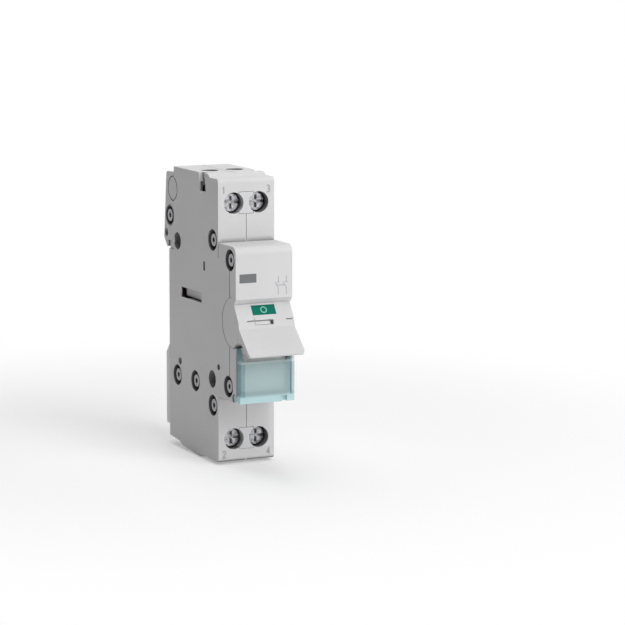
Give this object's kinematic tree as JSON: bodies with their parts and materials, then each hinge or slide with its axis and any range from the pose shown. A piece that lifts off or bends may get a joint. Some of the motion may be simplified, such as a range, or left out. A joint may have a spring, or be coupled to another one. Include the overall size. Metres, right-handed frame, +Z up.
{
  "type": "din rail switch disconnector",
  "caption": "Slim modular isolating switch for a 35 mm rail: stepped housing with a full-width toggle, rear hook and spring clip, deep screw wells and a clear hinged label cover.",
  "frame": {"origin": "centre of the rail seat: the middle of the width, on the plane where the rail's front face rests, level with the rail's centre line", "axes": "+X across the width to the right seen from the front, +Y out of the back towards the rail, +Z up; the front with the toggle faces -Y"},
  "size_m": [0.0176, 0.0604, 0.083],
  "materials": {
    "housing": "moulded grey plastic with a fine spark-eroded grain",
    "partition": "moulded grey plastic, smooth",
    "toggle": "pale grey moulded plastic, satin",
    "off_flag": "deep green inlay, satin",
    "on_flag": "red inlay, satin",
    "link": "stamped sheet steel",
    "carrier": "grey glass-filled plastic",
    "copper": "plain copper strip with silver pads",
    "screw": "zinc-plated steel, turned",
    "cage": "zinc-plated steel, folded",
    "rivet": "plated steel, upset heads",
    "steel": "plain drawn steel wire",
    "card": "plain paper card, blank",
    "cover": "clear plastic with a pale blue-green tint, polished",
    "clip": "pale grey plastic, fine grain"
  },
  "bodies": {
    "base": {"housing_left": "housing", "housing_right": "housing", "partition": "partition", "upper_contact_1": "copper", "upper_contact_2": "copper", "lower_contact_1": "copper", "lower_contact_2": "copper", "label_card": "card", "rail_clip_spring": "steel", "rivet_1": "rivet", "rivet_2": "rivet", "rivet_3": "rivet", "rivet_4": "rivet", "rivet_5": "rivet", "rivet_6": "rivet", "rivet_7": "rivet"},
    "toggle_lever": {"toggle": "toggle", "off_flag": "off_flag", "on_flag": "on_flag", "toggle_link_pin": "steel"},
    "link_bar": {"link": "link"},
    "contact_drum": {"contact_carrier": "carrier", "moving_contact_1": "copper", "moving_contact_2": "copper", "carrier_link_pin": "steel"},
    "clip_slider": {"rail_clip": "clip"},
    "cover_flap": {"label_cover": "cover"},
    "screw_1": {"terminal_screw_1": "screw"},
    "cage_1": {"terminal_cage_1": "cage"},
    "screw_2": {"terminal_screw_2": "screw"},
    "cage_2": {"terminal_cage_2": "cage"},
    "screw_3": {"terminal_screw_3": "screw"},
    "cage_3": {"terminal_cage_3": "cage"},
    "screw_4": {"terminal_screw_4": "screw"},
    "cage_4": {"terminal_cage_4": "cage"}
  },
  "joints": [
    {"name": "toggle_swing", "type": "hinge", "parent": "base", "child": "toggle_lever", "pos_m": [0, -0.0452, -0.0005], "axis": [-1, 0, 0], "range_deg": [0, 73.6]},
    {"name": "contact_swing", "type": "hinge", "parent": "base", "child": "contact_drum", "pos_m": [0, -0.0189, -0.0005], "axis": [-1, 0, 0], "range_deg": [0, 73.6]},
    {"name": "link_turn", "type": "hinge", "parent": "toggle_lever", "child": "link_bar", "pos_m": [0, -0.0428, -0.0037], "axis": [-1, 0, 0], "range_deg": [-73.6, 0]},
    {"name": "clip_slide", "type": "slide", "parent": "base", "child": "clip_slider", "axis": [0, 0, -1], "range_m": [0, 0.0043], "stiffness_N_per_m": 600, "springref_m": -0.002, "deforming": ["rail_clip_spring"]},
    {"name": "cover_hinge", "type": "hinge", "parent": "base", "child": "cover_flap", "pos_m": [0, -0.0462, -0.02185], "axis": [1, 0, 0], "range_deg": [0, 88]},
    {"name": "screw_turn_1", "type": "hinge", "parent": "base", "child": "screw_1", "pos_m": [-0.0039, -0.033, 0.0322], "axis": [0, 1, 0], "range_deg": [0, 1800.5]},
    {"name": "cage_slide_1", "type": "slide", "parent": "base", "child": "cage_1", "axis": [0, -1, 0], "range_m": [0, 0.0035]},
    {"name": "screw_turn_2", "type": "hinge", "parent": "base", "child": "screw_2", "pos_m": [-0.0039, -0.033, -0.0358], "axis": [0, 1, 0], "range_deg": [0, 1800.5]},
    {"name": "cage_slide_2", "type": "slide", "parent": "base", "child": "cage_2", "axis": [0, -1, 0], "range_m": [0, 0.0035]},
    {"name": "screw_turn_3", "type": "hinge", "parent": "base", "child": "screw_3", "pos_m": [0.0039, -0.033, 0.0322], "axis": [0, 1, 0], "range_deg": [0, 1800.5]},
    {"name": "cage_slide_3", "type": "slide", "parent": "base", "child": "cage_3", "axis": [0, -1, 0], "range_m": [0, 0.0035]},
    {"name": "screw_turn_4", "type": "hinge", "parent": "base", "child": "screw_4", "pos_m": [0.0039, -0.033, -0.0358], "axis": [0, 1, 0], "range_deg": [0, 1800.5]},
    {"name": "cage_slide_4", "type": "slide", "parent": "base", "child": "cage_4", "axis": [0, -1, 0], "range_m": [0, 0.0035]}
  ],
  "couplings": [
    {"joint": "contact_swing", "follows": "toggle_swing", "ratio": 1},
    {"joint": "link_turn", "follows": "toggle_swing", "ratio": -1},
    {"joint": "screw_turn_1", "follows": "cage_slide_1", "rad_per_m": 8976},
    {"joint": "screw_turn_2", "follows": "cage_slide_2", "rad_per_m": 8976},
    {"joint": "screw_turn_3", "follows": "cage_slide_3", "rad_per_m": 8976},
    {"joint": "screw_turn_4", "follows": "cage_slide_4", "rad_per_m": 8976}
  ]
}
